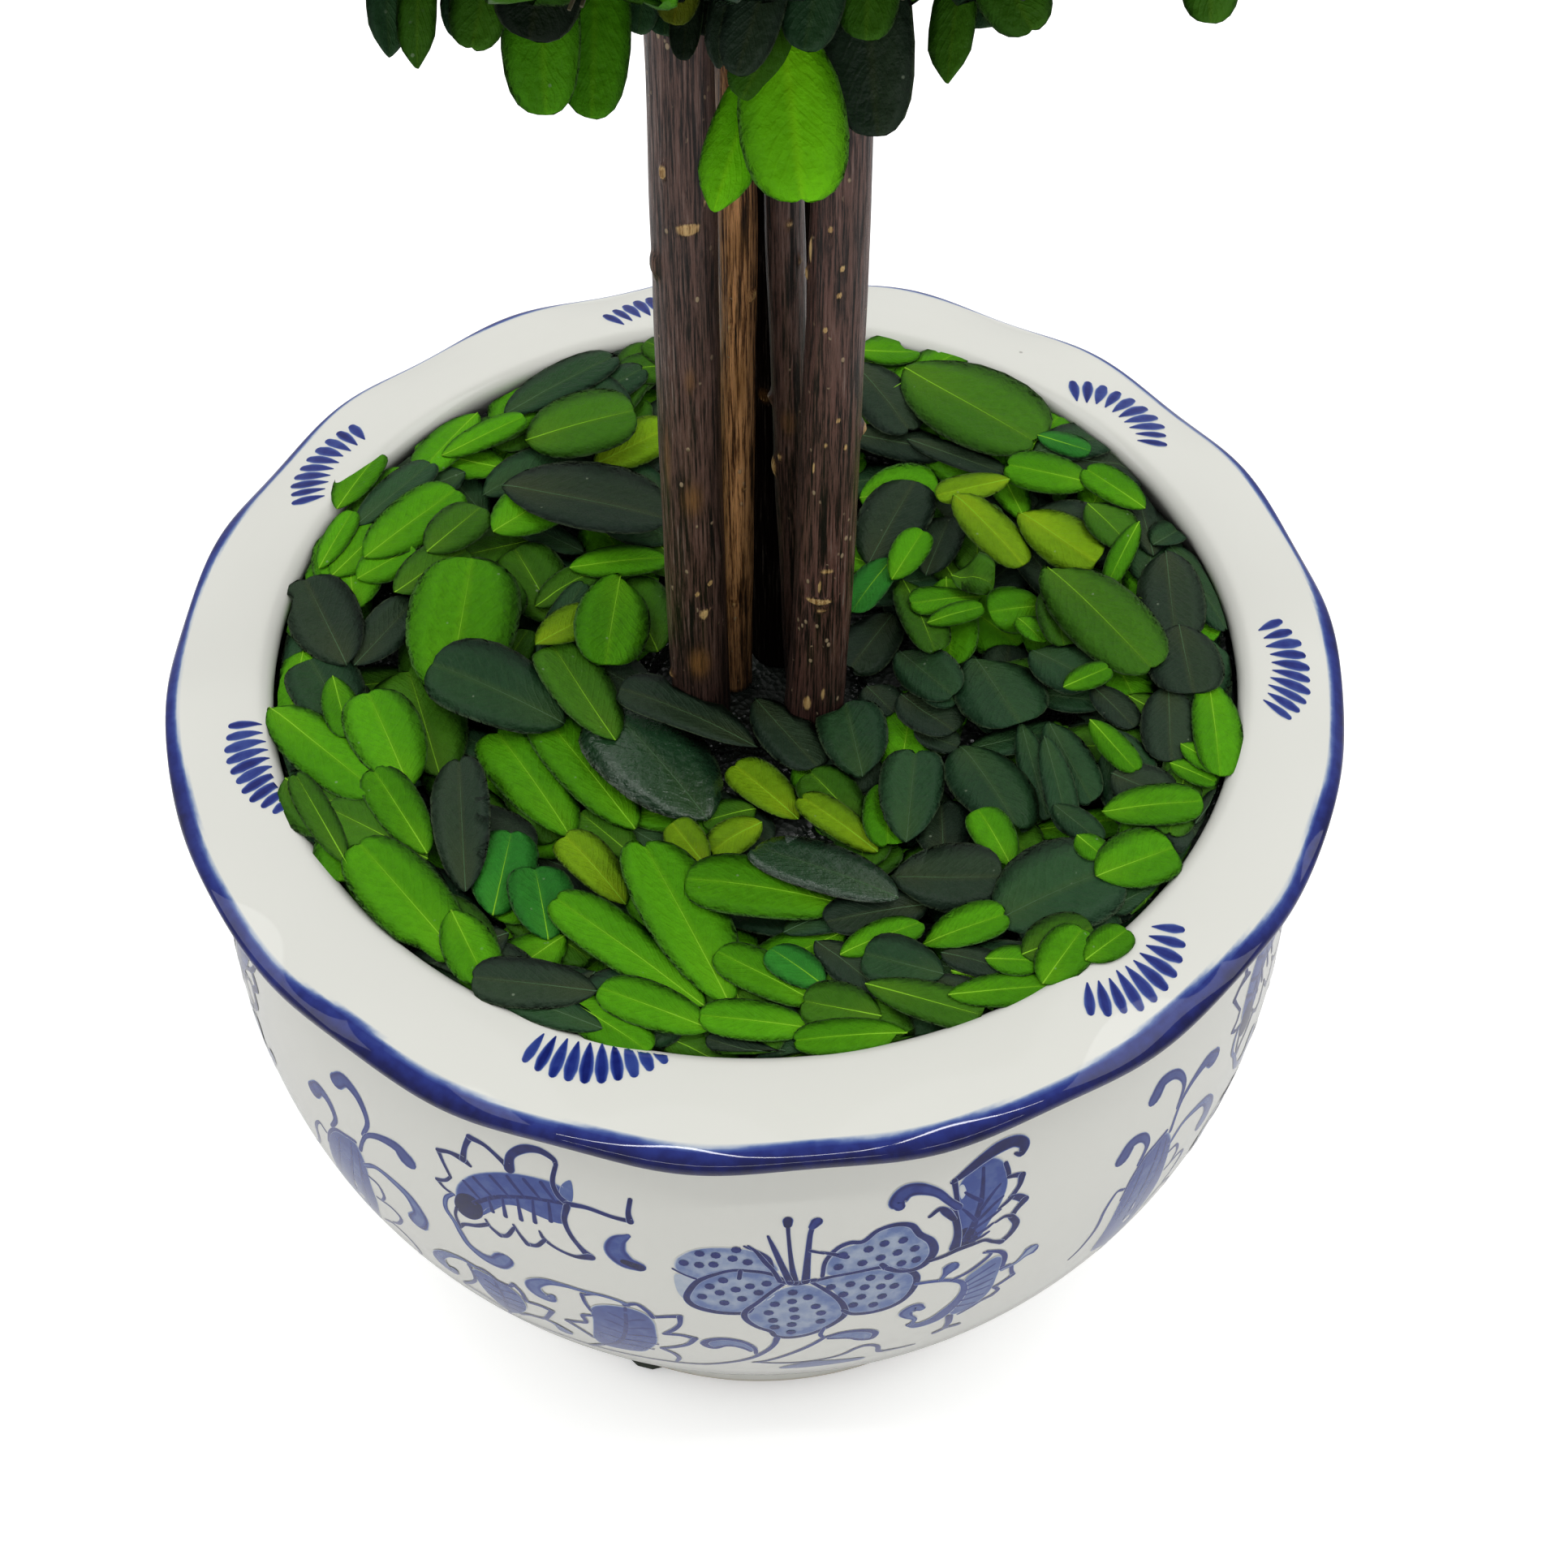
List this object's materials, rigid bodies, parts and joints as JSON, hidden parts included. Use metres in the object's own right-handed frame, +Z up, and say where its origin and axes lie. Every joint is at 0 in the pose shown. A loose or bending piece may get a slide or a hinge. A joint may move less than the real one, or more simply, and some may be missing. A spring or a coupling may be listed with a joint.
{
  "type": "preserved boxwood ball topiary in a porcelain bowl",
  "caption": "Clipped ball of preserved boxwood on a bundle of bare sticks, set in a footed blue and white porcelain bowl whose filling is covered with loose leaves.",
  "frame": {"origin": "on the surface that the four foot pads stand on, below the middle of the bowl", "axes": "+Z up along the trunk; -Y is the front of the bowl, the side with the large open flower; +X to the right of it"},
  "size_m": [0.2088, 0.207, 0.4928],
  "materials": {
    "glaze": "gloss",
    "rubber": "satin",
    "foam": "matte",
    "bark": "satin",
    "pale_bark": "satin",
    "bed_leaves": "satin",
    "ball_leaves": "satin"
  },
  "bodies": {
    "root": {"pot": "glaze", "foot_pad_1": "rubber", "foot_pad_2": "rubber", "foot_pad_3": "rubber", "foot_pad_4": "rubber", "foam_block": "foam", "stick_front_left": "bark", "stick_front_right": "bark", "stick_back_left": "pale_bark", "stick_back_right": "bark", "stick_rear": "bark", "leaf_bed": "bed_leaves", "leaf_ball": "ball_leaves"}
  },
  "joints": []
}
